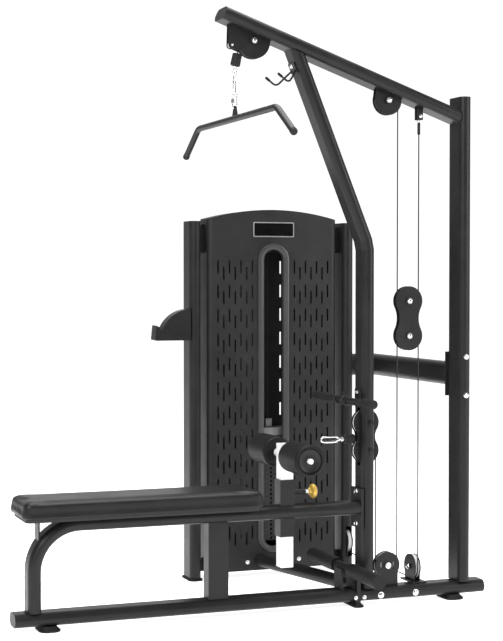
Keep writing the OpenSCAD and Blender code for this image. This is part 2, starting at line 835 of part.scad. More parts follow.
module lat_link() {
    color(chrome) in_plane() {
        // Eye under the stopper, then the clip and the link through the bar's lug
        translate([lat_x, 0, 2077]) cylinder(d = 8, h = stopper_bottom - 1.5 - 2077);
        translate([lat_x, 0, 2066.7]) link(22, 26, 5);
        translate([lat_x, 0, 2019.1]) rotate([0, 0, 90]) link(28, 92, 6);
        translate([lat_x, 0, 1954.5]) link(24, 62, 6);
    }
}

module lat_bar() {
    bend_r = 80;
    half = lat_straight / 2;
    drop = 107;
    run = lat_width / 2 - half;
    a = atan2(drop, run);
    tail = norm([drop, run - bar_d / 2 * sin(a)]);
    // The bend in three steps round its centre
    t = bend_r * tan(a / 2);
    r = bend_r / cos(a / 4);
    p1 = [half - t + r * sin(a / 4), r * cos(a / 4) - bend_r];
    p2 = [half - t + r * sin(a * 3 / 4), r * cos(a * 3 / 4) - bend_r];
    tip = [half + tail * cos(a), -tail * sin(a)];
    color(paint) in_plane() translate([lat_x, 0, lat_z]) {
        for (s = [0, 1]) mirror([0, s, 0]) rotate([0, 0, 90]) {
            mitred([0, 0], p1, 0, -a / 4) circle(d = bar_d);
            mitred(p1, p2, -a / 4, -a * 3 / 4) circle(d = bar_d);
            mitred(p2, tip, -a * 3 / 4, -a) circle(d = bar_d);
        }
        // Lug with an eye for the link
        difference() {
            rotate([90, 0, 90]) translate([0, 0, -4]) linear_extrude(8)
                polygon([[-24, 8], [24, 8], [9, 48], [-9, 48]]);
            translate([0, 0, eye_z - lat_z]) rod_x(12, -10, 10);
        }
    }
}

module row_cable_end() {
    x1 = mast_x - tube_t / 2 - 20;
    z = row_exit_z;
    color(trim) in_plane() {
        translate([0, 0, z]) rod_x(38, x1 - 46, x1);
        translate([0, 0, z]) rod_x(10, x1 - 70, x1 - 46);
        translate([x1 - 104, 0, z]) rotate([0, 90, 0]) link(26, 78, 6);
    }
}

module row_handle() {
    half = row_bar_len / 2;
    grip = 125;
    color(trim) in_plane() translate([handle_x, 0, handle_z]) {
        rod_y(25, -half, half);
        for (s = [0, 1]) mirror([0, s, 0]) {
            rod_y(30, half - 6, half);
            for (i = [0 : 9]) translate([0, half - grip + i * 12, 0]) rod_y(30, 0, 7);
        }
        // Lug for the link, turned up on the hooks
        translate([0, 0, 18]) difference() {
            cube([8, 30, 24], center = true);
            translate([0, 0, 4]) rod_x(11, -6, 6);
        }
    }
}

module storage_hooks() {
    face_x = mast_x - tube_t / 2;
    peg_z = handle_z - 12.5 - 5.5;
    hook_y = 65;
    color(trim) in_plane() {
        // Row bar hooks on the front of the mast
        translate([face_x - 6, -26, peg_z - 14]) cube([6, 52, 74]);
        for (s = [-1, 1]) wire([[face_x - 4, s * 38 - s * 18, peg_z], [handle_x - 4, s * 38, peg_z],
            [handle_x - 18, s * 38, peg_z + 8], [handle_x - 24, s * 38, peg_z + 24]], 9);
        // Lat bar hooks on the leaning mast
        translate([144, 0, 2091]) rotate([0, -mast_lean, 0]) translate([-6.5, -30, -22])
            cube([6, 60, 44]);
        for (s = [-1, 1]) wire([[142, s * 20, 2078], [124, s * 44, 2052], [108, s * hook_y, 2034],
            [96, s * hook_y, 2030], [84, s * hook_y, 2034], [55, s * hook_y, 2058]], 8);
    }
    color(chrome) in_plane() translate([144, 0, 2091]) rotate([0, -mast_lean, 0])
        translate([-6.5, 0, 8]) bolt_head_x(14);
}

module accessory_hook() {
    x0 = post_l - tube_t / 2;
    z0 = 1023;
    depth = 60;
    color(paint) in_plane() translate([x0, tower_y - 30 + depth / 2, z0]) rotate([90, 0, 0])
        linear_extrude(depth) difference() {
            union() {
                intersection() {
                    translate([0, 0]) circle(132, $fn = 120);
                    translate([-132, 0]) square([132, 132]);
                }
                translate([-150, 0]) square([150, 12]);
                polygon([[-158, 4], [-150, 0], [-132, 0], [-126, 40], [-134, 56], [-144, 60],
                    [-152, 64]]);
            }
            // V notch behind the upturned tip
            polygon([[-145, 80], [-132, 44], [-112, 80]]);
        }
}

module footrest() {
    sleeve_d = 56;
    half = 320;
    color(trim) in_plane() {
        translate([footrest_x, 0, footrest_z]) {
            rod_y(38, -half + 4, half - 4);
            for (s = [0, 1]) mirror([0, s, 0]) rod_y(sleeve_d, 70, half);
        }
        // Bracket on the floor rail
        difference() {
            translate([footrest_x - 30, -35, rail_z1]) cube([60, 70, footrest_z - rail_z1]);
            translate([footrest_x - 22, -40, rail_z1 - 1]) cube([44, 80, footrest_z - rail_z1 - 25]);
        }
    }
}

// ---------------------------------------------------------------- weight stack

module guide_rods() {
    color(chrome) in_plane() for (s = [-1, 1]) translate([tower_x + s * guide_dx, stack_y, 80])
        cylinder(d = guide_d, h = top_wheel_z - 56 - 80);
}

module stack_bumpers() {
    color(trim) in_plane() for (s = [-1, 1]) translate([tower_x + s * guide_dx, stack_y, 80])
        difference() {
            cylinder(d = 50, h = stack_z0 - 80);
            translate([0, 0, -1]) cylinder(d = guide_d + 0.6, h = stack_z0);
        }
}

// Plates that lie on each other, with a groove in front and behind at every joint
module plates(z0, count) {
    h = count * plate_t;
    depth = stack_y1 - stack_y0;
    translate([tower_x, stack_y, z0]) difference() {
        translate([-plate_w / 2, -depth / 2, 0]) cube([plate_w, depth, h]);
        translate([0, 0, -1]) cylinder(d = rod_hole_d, h = h + 2);
        for (s = [-1, 1]) translate([s * guide_dx, 0, -1]) cylinder(d = guide_d + 3, h = h + 2);
        for (i = [0 : count - 1]) translate([0, 0, (i + 0.5) * plate_t])
            rod_y(pin_d + 2, -depth, 0);
        for (i = [1 : count - 1], s = [-1, 1])
            translate([-plate_w, s * depth / 2 - 3, i * plate_t - 1]) cube([2 * plate_w, 6, 2]);
    }
}

module weight_stack() {
    color([0.12, 0.12, 0.12]) in_plane() plates(stack_z0, plate_count - lifted_count);
}

module lifted_plates() {
    color([0.12, 0.12, 0.12]) in_plane() difference() {
        plates(lift_z0, lifted_count);
        // Clear of the plates that stay down
        translate([0, stack_y0 - 1, lift_z0 - 1]) cube([2 * tower_x, 100, 1.4]);
    }
}

module selector_rod() {
    stem_len = stack_z1 - stack_z0 - 10;
    color([0.6, 0.6, 0.6]) in_plane() translate([tower_x, stack_y, 0]) difference() {
        union() {
            translate([0, 0, stack_z1 - stem_len]) cylinder(d = rod_d, h = stem_len);
            translate([-plate_w / 2, stack_y0 - stack_y, stack_z1])
                cube([plate_w, stack_y1 - stack_y0, head_h]);
            translate([-14, -14, stack_z1 + head_h - eps]) cube([28, 28, 38]);
        }
        for (s = [-1, 1]) translate([s * guide_dx, 0, stack_z1 - 1])
            cylinder(d = guide_d + 1, h = head_h + 2);
        for (i = [0 : plate_count - 2]) translate([0, 0, stack_z1 - (i + 0.5) * plate_t])
            rod_y(pin_d + 0.6, -rod_d, rod_d);
    }
}

module selector_pin() {
    z = lift_z0 + plate_t / 2;
    color([0.8, 0.2, 0.1]) in_plane() translate([tower_x, 0, z]) {
        rod_y(pin_d, stack_y0 - 6, stack_y + 8);
        rod_y(24, stack_y0 - 22, stack_y0 - 1);
    }
}

// ---------------------------------------------------------------- cables

module lat_cable_run() {
    d = rear_c - front_c;
    slope = atan2(d[1], d[0]);
    normal = 90 + slope - asin((front_wheel_r - wheel_r) / norm(d));
    n = [cos(normal), sin(normal)];
    a = front_c + front_wheel_r * n;
    b = rear_c + wheel_r * n;
    u = 0.05 * [b[0] - a[0], 0, b[1] - a[1]] / norm(b - a);
    color(trim) in_plane() {
        cable_arc(front_c, front_wheel_r, normal, 180);
        // A hair short of the arcs at both ends
        bar([a[0], 0, a[1]] + u, [b[0], 0, b[1]] - u, cable_d);
        cable_arc(rear_c, wheel_r, 0, normal);
        // End sleeve at the anchor
        translate([run_x, 0, anchor_z - 72]) cylinder(d = 9, h = 62);
    }
}

module lat_cable_drop() {
    color(trim) in_plane() cable_z(cable_x, stopper_top, front_c[1]);
}

module lat_cable_loop() {
    color(trim) in_plane() {
        cable_z(block_c[0] - wheel_r, block_c[1], rear_c[1]);
        cable_arc(block_c, wheel_r, 180, 360);
        cable_z(run_x, block_c[1], anchor_z - 72);
    }
}

module low_cable_run() {
    turn_bottom = turn_z - wheel_r;
    up_x = low_c[0] - wheel_r;
    color(trim) in_plane() {
        // From the low row end round the big low wheel
        translate([0, 0, row_exit_z]) rod_x(cable_d, mast_x - tube_t / 2 - 19.5, row_c[0]);
        cable_arc(row_c, wheel_r, 0, 90);
        cable_z(up_x, low_c[1], row_c[1]);
        cable_arc(low_c, wheel_r, 180, 360);
        // Round the turn wheel, along the floor and up inside the tower post
        translate([run_x, wheel_r, turn_z]) rotate([0, 90, 0]) rotate([0, 0, -90])
            rotate_extrude(angle = 90) translate([wheel_r, 0]) circle(d = cable_d, $fn = 24);
        translate([run_x, 0, turn_bottom]) rod_y(cable_d, wheel_r, stack_y - wheel_r);
        translate([run_x, stack_y - wheel_r, turn_z]) rotate([0, 90, 0])
            rotate_extrude(angle = 90) translate([wheel_r, 0]) circle(d = cable_d, $fn = 24);
        translate([0, stack_y, 0]) {
            cable_z(run_x, turn_z, top_wheel_z);
            cable_arc([top_wheel_x[1], top_wheel_z], wheel_r, 0, 90);
            translate([0, 0, top_wheel_z + wheel_r]) rod_x(cable_d, top_wheel_x[0], top_wheel_x[1]);
            cable_arc([top_wheel_x[0], top_wheel_z], wheel_r, 90, 180);
        }
    }
}

module low_cable_loop() {
    c = block_c - [0, block_pitch];
    color(trim) in_plane() {
        cable_z(low_c[0] + wheel_r, low_c[1], c[1]);
        cable_arc(c, wheel_r, 0, 180);
        cable_z(run_x, turn_z, c[1]);
    }
}

module stack_cable() {
    color(trim) in_plane() translate([0, stack_y, 0])
        cable_z(tower_x, stack_z1 + head_h + 38, top_wheel_z);
}

bench_frame();
bench_rail();
main_rail();
mast();
boom();
rear_post();
rear_brace();
base_link_tube();
tower_frame();
front_cover();
rear_cover();
top_cover();
window_bezel();
badge_plate();
frame_bolts();
tube_caps();
floor_feet();
seat_board();
seat_pad();
knee_sleeve();
knee_post();
near_roller();
far_roller();
pop_pin();
boom_pulley_plates();
front_wheel();
guide_roller();
rear_wheel();
block_plates();
block_upper_wheel();
block_lower_wheel();
row_pulley_plates();
row_upper_wheel();
row_lower_wheel();
floor_pulley_plates();
low_wheel();
turn_wheel();
tower_low_wheel();
tower_right_wheel();
tower_centre_wheel();
lat_stopper();
lat_link();
lat_bar();
row_cable_end();
row_handle();
storage_hooks();
accessory_hook();
footrest();
guide_rods();
stack_bumpers();
weight_stack();
lifted_plates();
selector_rod();
selector_pin();
lat_cable_run();
lat_cable_drop();
lat_cable_loop();
low_cable_run();
low_cable_loop();
stack_cable();
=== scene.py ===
import math

import bmesh
import bpy
from mathutils import Matrix, Vector


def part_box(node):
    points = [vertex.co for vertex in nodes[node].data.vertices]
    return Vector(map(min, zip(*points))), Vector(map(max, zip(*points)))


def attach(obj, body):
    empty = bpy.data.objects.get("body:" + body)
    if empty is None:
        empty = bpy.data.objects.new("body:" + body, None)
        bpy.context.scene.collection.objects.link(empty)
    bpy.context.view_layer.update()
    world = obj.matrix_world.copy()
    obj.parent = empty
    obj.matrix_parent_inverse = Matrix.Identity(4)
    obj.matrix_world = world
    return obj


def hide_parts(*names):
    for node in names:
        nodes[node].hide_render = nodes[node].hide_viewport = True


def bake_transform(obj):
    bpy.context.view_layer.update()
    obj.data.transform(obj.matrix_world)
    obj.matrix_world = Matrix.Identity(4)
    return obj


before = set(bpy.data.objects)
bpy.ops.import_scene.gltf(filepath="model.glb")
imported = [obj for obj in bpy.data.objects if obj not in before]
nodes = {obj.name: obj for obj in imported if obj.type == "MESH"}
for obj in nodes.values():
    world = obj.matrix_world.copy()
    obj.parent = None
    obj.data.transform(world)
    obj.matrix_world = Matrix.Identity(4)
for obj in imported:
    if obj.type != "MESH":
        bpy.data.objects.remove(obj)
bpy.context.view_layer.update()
scene = bpy.context.scene
X, Y, Z = Vector((1, 0, 0)), Vector((0, 1, 0)), Vector((0, 0, 1))

# The bench, mast, boom and rear post share one upright plane; at() measures depth from it
PLANE = sum(c.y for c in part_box("main_rail")) / 2

# Axles in that plane, (x, z) in millimetres
FRONT_WHEEL, REAR_WHEEL = (-25, 2184), (540, 1982)
GUIDE_ROLLER = (-112, 2165)
BLOCK_TOP, BLOCK_LOW = (633, 1195), (633, 1057)
ROW_TOP, ROW_LOW = (447.5, 719), (447.5, 609)
LOW_WHEEL = (540.5, 150)
KNEE_AXIS = (108, 606)
ANCHOR = (679.5, 1925)

# The turn wheel sends the low cable along the floor to the tower, in millimetres
TURN_X, TURN_Z = 679.5, 128
TOWER_X, STACK_Y, TOP_WHEEL_Z = 327, 748, 1452
TOP_WHEEL_X = (373.5, 633)
TOWER_FOOT_X = 352.5

SOFT_EDGE = 32  # degrees; sharper edges than this stay sharp
GROOVE = 46.5  # radius of the cable's middle round a wheel, millimetres
FRONT_GROOVE = 59
CABLE_R = 2.5
BLACK_AXLE = 57  # half the row pulley's axle length; its bolts are painted


def at(x, y, z):
    """A point in millimetres, its depth measured from the main frame's plane."""
    return Vector((x / 1000, y / 1000 + PLANE, z / 1000))


# ---------------------------------------------------------------- camera, floor and lights

camera = bpy.data.objects.new("camera", bpy.data.cameras.new("camera"))
scene.collection.objects.link(camera)
camera.location = at(-2110, -5536, 1278)
camera.rotation_euler = [math.radians(a) for a in (88.5, 0, -20.6)]
camera.data.sensor_width = 36
camera.data.lens = 1550 / 641 * 36
camera.data.clip_start, camera.data.clip_end = 0.1, 100
scene.camera = camera

scene.view_settings.view_transform = "Standard"
scene.view_settings.look = "None"


# ---------------------------------------------------------------- materials

def shader(name, color, rough, metallic=0.0, **sockets):
    """A new material with those values on its Principled BSDF, its tree and that BSDF."""
    m = bpy.data.materials.new(name)
    m.use_nodes = True
    b = m.node_tree.nodes["Principled BSDF"]
    b.inputs["Base Color"].default_value = (*color, 1)
    b.inputs["Roughness"].default_value = rough
    b.inputs["Metallic"].default_value = metallic
    for key, value in sockets.items():
        b.inputs[key.replace("_", " ")].default_value = value
    return m, m.node_tree, b


def texture(tree, kind, scale, **values):
    """A procedural texture in object coordinates, so it is fixed to the part in metres."""
    n = tree.nodes.new(kind)
    coord = tree.nodes.get("Texture Coordinate") or tree.nodes.new("ShaderNodeTexCoord")
    tree.links.new(coord.outputs["Object"], n.inputs["Vector"])
    n.inputs["Scale"].default_value = scale
    for key, value in values.items():
        n.inputs[key].default_value = value
    return n


def vary(tree, b, source, dark, light, low=0.35, high=0.65):
    """Base colour that wanders between two tones with the texture."""
    ramp = tree.nodes.new("ShaderNodeValToRGB")
    ramp.color_ramp.elements[0].position, ramp.color_ramp.elements[1].position = low, high
    ramp.color_ramp.elements[0].color = (*dark, 1)
    ramp.color_ramp.elements[1].color = (*light, 1)
    tree.links.new(source, ramp.inputs["Fac"])
    tree.links.new(ramp.outputs["Color"], b.inputs["Base Color"])


def gloss(tree, b, source, low, high):
    """Roughness that wanders between two values with the texture."""
    span = tree.nodes.new("ShaderNodeMapRange")
    span.inputs["From Min"].default_value, span.inputs["From Max"].default_value = 0.3, 0.7
    span.inputs["To Min"].default_value, span.inputs["To Max"].default_value = low, high
    tree.links.new(source, span.inputs["Value"])
    tree.links.new(span.outputs["Result"], b.inputs["Roughness"])


def relief(tree, b, source, strength, distance):
    """Bump from the texture."""
    n = tree.nodes.new("ShaderNodeBump")
    n.inputs["Strength"].default_value = strength
    n.inputs["Distance"].default_value = distance
    tree.links.new(source, n.inputs["Height"])
    tree.links.new(n.outputs["Normal"], b.inputs["Normal"])


def tone(color, k):
    return tuple(c * k for c in color)


def finish(name, color, rough, metallic=0.0, cloud=9.0, spread=0.16, grain=900.0, bump=0.15,
           depth=0.0002, cells=False, **sockets):
    """A material with clouded colour and gloss over a fine grain, all procedural."""
    m, tree, b = shader(name, color, rough, metallic, **sockets)
    clouds = texture(tree, "ShaderNodeTexNoise", cloud, Detail=5.0, Roughness=0.6)
    vary(tree, b, clouds.outputs["Fac"], tone(color, 1 - spread), tone(color, 1 + spread))
    gloss(tree, b, clouds.outputs["Fac"], rough * 0.88, rough * 1.12)
    if cells:
        fine = texture(tree, "ShaderNodeTexVoronoi", grain)
        relief(tree, b, fine.outputs["Distance"], bump, depth)
    else:
        fine = texture(tree, "ShaderNodeTexNoise", grain, Detail=2.0)
        relief(tree, b, fine.outputs["Fac"], bump, depth)
    return m


PAINT = finish("powder_coat", (0.013, 0.013, 0.0135), 0.38, grain=1100, bump=0.22, depth=0.00025,
               Specular_IOR_Level=0.24)
COVER = finish("cover_coat", (0.017, 0.017, 0.0175), 0.46, grain=1400, bump=0.25, depth=0.00025,
               Specular_IOR_Level=0.25)
BEZEL = finish("bezel_plastic", (0.042, 0.042, 0.043), 0.34, cloud=4, spread=0.08, grain=2200,
               bump=0.12, depth=0.0001)
BADGE = finish("badge_gloss", (0.002, 0.002, 0.002), 0.30, cloud=20, spread=0.1, grain=3000,
               bump=0.03, Specular_IOR_Level=0.12)
BADGE_RIM = finish("badge_edge", (0.24, 0.24, 0.24), 0.30, cloud=20, spread=0.06, grain=2500,
                   bump=0.05)
BRIGHT = finish("bright_steel", (0.82, 0.82, 0.83), 0.17, 1.0, cloud=40, spread=0.05, grain=500,
                bump=0.04, depth=0.0001)
# Knee post: its chrome is drawn as a near-white, barely metallic colour, a painted reflection of
# the white studio that the chrome mirrors.
CHROME_PAINTED_REFLECTION = finish("chrome_post_painted_reflection", (0.90, 0.90, 0.90), 0.30, 0.15, cloud=14, spread=0.03, grain=300,
                bump=0.03, depth=0.0001)
GREY_STEEL = finish("turned_steel", (0.20, 0.20, 0.20), 0.42, 0.7, cloud=30, spread=0.1, grain=600,
                    bump=0.08)
PLASTIC = finish("black_plastic", (0.010, 0.010, 0.010), 0.45, grain=1800, bump=0.2, depth=0.0001,
                 Specular_IOR_Level=0.3)
RUBBER = finish("black_rubber", (0.010, 0.010, 0.010), 0.62, grain=1300, bump=0.3, depth=0.0002,
                Specular_IOR_Level=0.25)
FOAM = finish("skinned_foam", (0.008, 0.008, 0.008), 0.50, cloud=12, grain=1500, bump=0.35,
              depth=0.0003, cells=True, Specular_IOR_Level=0.18)
GOLD = finish("gold_knob", (0.62, 0.40, 0.07), 0.28, 0.35, cloud=60, spread=0.08, grain=900,
              bump=0.05)
NYLON = finish("wheel_nylon", (0.66, 0.66, 0.65), 0.35, cloud=25, spread=0.06, grain=900, bump=0.08)
CABLE = finish("coated_cable", (0.010, 0.010, 0.010), 0.35, cloud=60, grain=700, bump=0.1)
IRON = finish("painted_iron", (0.018, 0.018, 0.018), 0.55, cloud=30, spread=0.3, grain=350,
              bump=0.4, depth=0.0004)
VINYL = finish("black_vinyl", (0.012, 0.012, 0.012), 0.42, cloud=7, spread=0.12, grain=1000,
               bump=0.30, depth=0.0003, cells=True, Specular_IOR_Level=0.26)
BOARD = finish("painted_board", (0.012, 0.011, 0.010), 0.6, cloud=20, spread=0.2, grain=500,
               bump=0.3)

NODE_MATERIALS = {
    PAINT: "bench_frame bench_rail main_rail mast boom rear_post rear_brace base_link_tube "
           "tower_frame knee_sleeve boom_pulley_plates row_pulley_plates floor_pulley_plates "
           "block_plates lat_bar accessory_hook",
    COVER: "front_cover rear_cover top_cover",
    BEZEL: "window_bezel",
    BADGE: "badge_plate",
    BRIGHT: "frame_bolts lat_link",
    GREY_STEEL: "guide_rods selector_rod",
    CHROME_PAINTED_REFLECTION: "knee_post",
    PLASTIC: "tube_caps storage_hooks",
    RUBBER: "floor_feet lat_stopper row_cable_end row_handle footrest stack_bumpers",
    VINYL: "seat_pad",
    BOARD: "seat_board",
    FOAM: "near_roller far_roller",
    GOLD: "pop_pin selector_pin",
    NYLON: "front_wheel guide_roller rear_wheel block_upper_wheel block_lower_wheel "
           "row_upper_wheel row_lower_wheel low_wheel turn_wheel tower_low_wheel "
           "tower_right_wheel tower_centre_wheel",
    CABLE: "lat_cable_run lat_cable_drop lat_cable_loop low_cable_run low_cable_loop stack_cable",
    IRON: "weight_stack lifted_plates",
}
for material, names in NODE_MATERIALS.items():
    for name in names.split():
        mesh = nodes[name].data
        mesh.materials.clear()
        mesh.materials.append(material)
        mesh.polygons.foreach_set("use_smooth", [True] * len(mesh.polygons))
        mesh.set_sharp_from_angle(angle=math.radians(SOFT_EDGE))

# ---------------------------------------------------------------- making pieces


def add(name, mesh, material, body, smooth=SOFT_EDGE):
    """A new piece of that mesh, in the row frame, that rides on the body."""
    mesh.materials.clear()
    mesh.materials.append(material)
    o = bpy.data.objects.new(name, mesh)
    scene.collection.objects.link(o)
    mesh.polygons.foreach_set("use_smooth", [True] * len(mesh.polygons))
    if smooth:
        mesh.set_sharp_from_angle(angle=math.radians(smooth))
    if body:
        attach(o, body)
    return o


def basis(direction):
    """Two unit vectors square to the direction, and the direction."""
    w = Vector(direction).normalized()
    u = w.orthogonal().normalized()
    if abs(w.z) < 0.9:
        u = Z.cross(w).normalized()
    return u, w.cross(u), w


def loft(name, rings):
    """A closed mesh skinned over rings of points, its two ends flat."""
    mesh = bpy.data.meshes.new(name)
    bm = bmesh.new()
    rings = [[bm.verts.new(p) for p in ring] for ring in rings]
    for a, b in zip(rings, rings[1:]):
        for k in range(len(a)):
            bm.faces.new([a[k], a[(k + 1) % len(a)], b[(k + 1) % len(a)], b[k]])
    bm.faces.new(rings[0][::-1])
    bm.faces.new(rings[-1])
    bmesh.ops.recalc_face_normals(bm, faces=bm.faces)
    bm.to_mesh(mesh)
    bm.free()
    return mesh


def lathe(name, profile, origin, direction, material, body, count=64, smooth=SOFT_EDGE):
    """A turned piece: profile is (radius, distance along the direction) in millimetres."""
    u, v, w = basis(direction)
    mesh = bpy.data.meshes.new(name)
    bm = bmesh.new()
    rings = []
    for r, h in profile:
        centre = origin + w * (h / 1000)
        if r == 0:
            rings.append([bm.verts.new(centre)])
            continue
        rings.append([bm.verts.new(centre + (u * math.cos(a) + v * math.sin(a)) * (r / 1000))
                      for a in (2 * math.pi * k / count for k in range(count))])
    for a, b in zip(rings, rings[1:]):
        for k in range(count):
            quad = [a[k % len(a)], a[(k + 1) % len(a)], b[(k + 1) % len(b)], b[k % len(b)]]
            quad = [p for i, p in enumerate(quad) if p not in quad[:i]]
            if len(quad) > 2:
                bm.faces.new(quad)
    bmesh.ops.recalc_face_normals(bm, faces=bm.faces)
    bm.to_mesh(mesh)
    bm.free()
    return add(name, mesh, material, body, smooth)


def rounded(points, radius, steps=8):
    """The path with each inner corner turned into an arc of that radius, in millimetres."""
    out = [points[0]]
    for a, p, b in zip(points, points[1:], points[2:]):
        d0, d1 = (p - a).normalized(), (b - p).normalized()
        angle = d0.angle(d1)
        if angle < 0.01:
            out.append(p)
            continue
        r = radius / 1000
        reach = min(r * math.tan(angle / 2), (p - a).length * 0.48, (b - p).length * 0.48)
        r = reach / math.tan(angle / 2)
        centre = p + (d1 - d0).normalized() * (r / math.cos(angle / 2))
        start = p - d0 * reach - centre
        axis = d0.cross(d1).normalized()
        for k in range(steps + 1):
            out.append(centre + Matrix.Rotation(angle * k / steps, 3, axis) @ start)
    out.append(points[-1])
    return out


def split(a, b, count):
    """Evenly spaced points from a to b."""
    return [a.lerp(b, k / count) for k in range(count + 1)]


def tube(name, path, radius, material, body, closed=False, count=20, dome=False):
    """A round bar along the path; radius in millimetres, or one for each point."""
    n = len(path)
    radii = radius if isinstance(radius, (list, tuple)) else [radius] * n
    tangents = []
    for i in range(n):
        a = path[i - 1] if i or closed else path[0]
        b = path[(i + 1) % n] if i < n - 1 or closed else path[-1]
        tangents.append((b - a).normalized())
    mesh = bpy.data.meshes.new(name)
    bm = bmesh.new()
    u = basis(tangents[0])[0]
    rings = []
    for i, (p, t) in enumerate(zip(path, tangents)):
        u = (u - t * u.dot(t)).normalized()
        v = t.cross(u)
        rings.append([bm.verts.new(p + (u * math.cos(a) + v * math.sin(a)) * (radii[i] / 1000))
                      for a in (2 * math.pi * k / count for k in range(count))])
    pairs = list(zip(rings, rings[1:])) + ([(rings[-1], rings[0])] if closed else [])
    for a, b in pairs:
        shift = 0
        if closed and b is rings[0]:
            shift = min(range(count), key=lambda s: (a[0].co - b[s].co).length)
        for k in range(count):
            bm.faces.new([a[k], a[(k + 1) % count], b[(k + 1 + shift) % count],
                          b[(k + shift) % count]])
    if not closed:
        for ring, p, t, s in ((rings[0], path[0], tangents[0], -1),
                              (rings[-1], path[-1], tangents[-1], 1)):
            r = (radii[0] if s < 0 else radii[-1]) / 1000
            last = ring
            for k in range(1, 5) if dome else ():
                a = math.pi / 2 * k / 5
                new = [bm.verts.new(p + t * s * r * math.sin(a) + (q.co - p) * math.cos(a))
                       for q in ring]
                for i in range(count):
                    bm.faces.new([last[i], last[(i + 1) % count], new[(i + 1) % count], new[i]])
                last = new
            bm.faces.new(last)
    bmesh.ops.recalc_face_normals(bm, faces=bm.faces)
    bm.to_mesh(mesh)
    bm.free()
    return add(name, mesh, material, body, 40)


def ring_path(centre, width, height, across, up):
    """A long oval of that outline round the centre, as points."""
    r = width / 2
    s = height / 2 - r
    out = []
    for sign in (1, -1):
        for k in range(13):
            a = math.pi * k / 12
            out.append(centre + sign * (across * (r * math.cos(a)) + up * (s + r * math.sin(a)))
                       / 1000)
    return out


def plate(name, outline, holes, thickness, bevel, origin, right, up, material, body):
    """A flat plate with bevelled edges; outline and holes are points in millimetres."""
    curve = bpy.data.curves.new(name, "CURVE")
    curve.dimensions = "2D"
    curve.fill_mode = "BOTH"
    for loop in [outline, *holes]:
        s = curve.splines.new("POLY")
        s.points.add(len(loop) - 1)
        s.use_cyclic_u = True
        for p, (x, y) in zip(s.points, loop):
            p.co = (x / 1000, y / 1000, 0, 1)
    curve.extrude = (thickness / 2 - bevel) / 1000
    curve.bevel_depth = bevel / 1000
    curve.bevel_resolution = 2
    curve.offset = -bevel / 1000
    temp = bpy.data.objects.new(name + "_curve", curve)
    scene.collection.objects.link(temp)
    bpy.context.view_layer.update()
    mesh = bpy.data.meshes.new_from_object(
        temp.evaluated_get(bpy.context.evaluated_depsgraph_get()))
    bpy.data.objects.remove(temp)
    r, q = Vector(right).normalized(), Vector(up).normalized()
    n = r.cross(q)
    mesh.transform(Matrix((
        (r.x, q.x, n.x, origin.x), (r.y, q.y, n.y, origin.y), (r.z, q.z, n.z, origin.z),
        (0, 0, 0, 1))))
    return add(name, mesh, material, body)


def circle(cx, cy, r, count=48, start=0, sweep=360):
    """Points round a circle, or along an arc that sweeps less than a full turn."""
    closed = sweep == 360
    return [(cx + r * math.cos(math.radians(start + sweep * k / count)),
             cy + r * math.sin(math.radians(start + sweep * k / count)))
            for k in range(count if closed else count + 1)]


def soft_box(w, h, r, count=8):
    """Rounded rectangle about the origin."""
    out = []
    for cx, cy, a in ((w / 2 - r, h / 2 - r, 0), (r - w / 2, h / 2 - r, 90),
                      (r - w / 2, r - h / 2, 180), (w / 2 - r, r - h / 2, 270)):
        out += circle(cx, cy, r, count, a, 90)
    return out


def oval(w, h, count=16):
    """Upright flat oval about the origin."""
    s = h / 2 - w / 2
    return circle(0, s, w / 2, count, 0, 180) + circle(0, -s, w / 2, count, 180, 180)


def bolt(name, p, direction, size, body, high=None, material=BRIGHT):
    """A hexagon bolt head on a washer, its outer end towards the direction."""
    high = high or size * 0.4
    lathe(name + "_washer", [(size * 0.2, 0), (size * 0.66, 0), (size * 0.68, 0.6),
                             (size * 0.66, 1.8), (size * 0.5, 2), (size * 0.2, 2)],
          p, direction, material, body, 40)
    w = Vector(direction).normalized()
    lathe(name + "_head", [(0, 0), (size * 0.5, 0), (size * 0.5, high - 1), (size * 0.42, high),
                           (0, high)], p + w * 0.002, direction, material, body, 6)
    lathe(name + "_dome", [(size * 0.41, high - 0.5), (size * 0.38, high + 0.6),
                           (size * 0.2, high + 1.2), (0, high + 1.4)],
          p + w * 0.002, direction, material, body, 32, 0)


# ---------------------------------------------------------------- seat pad


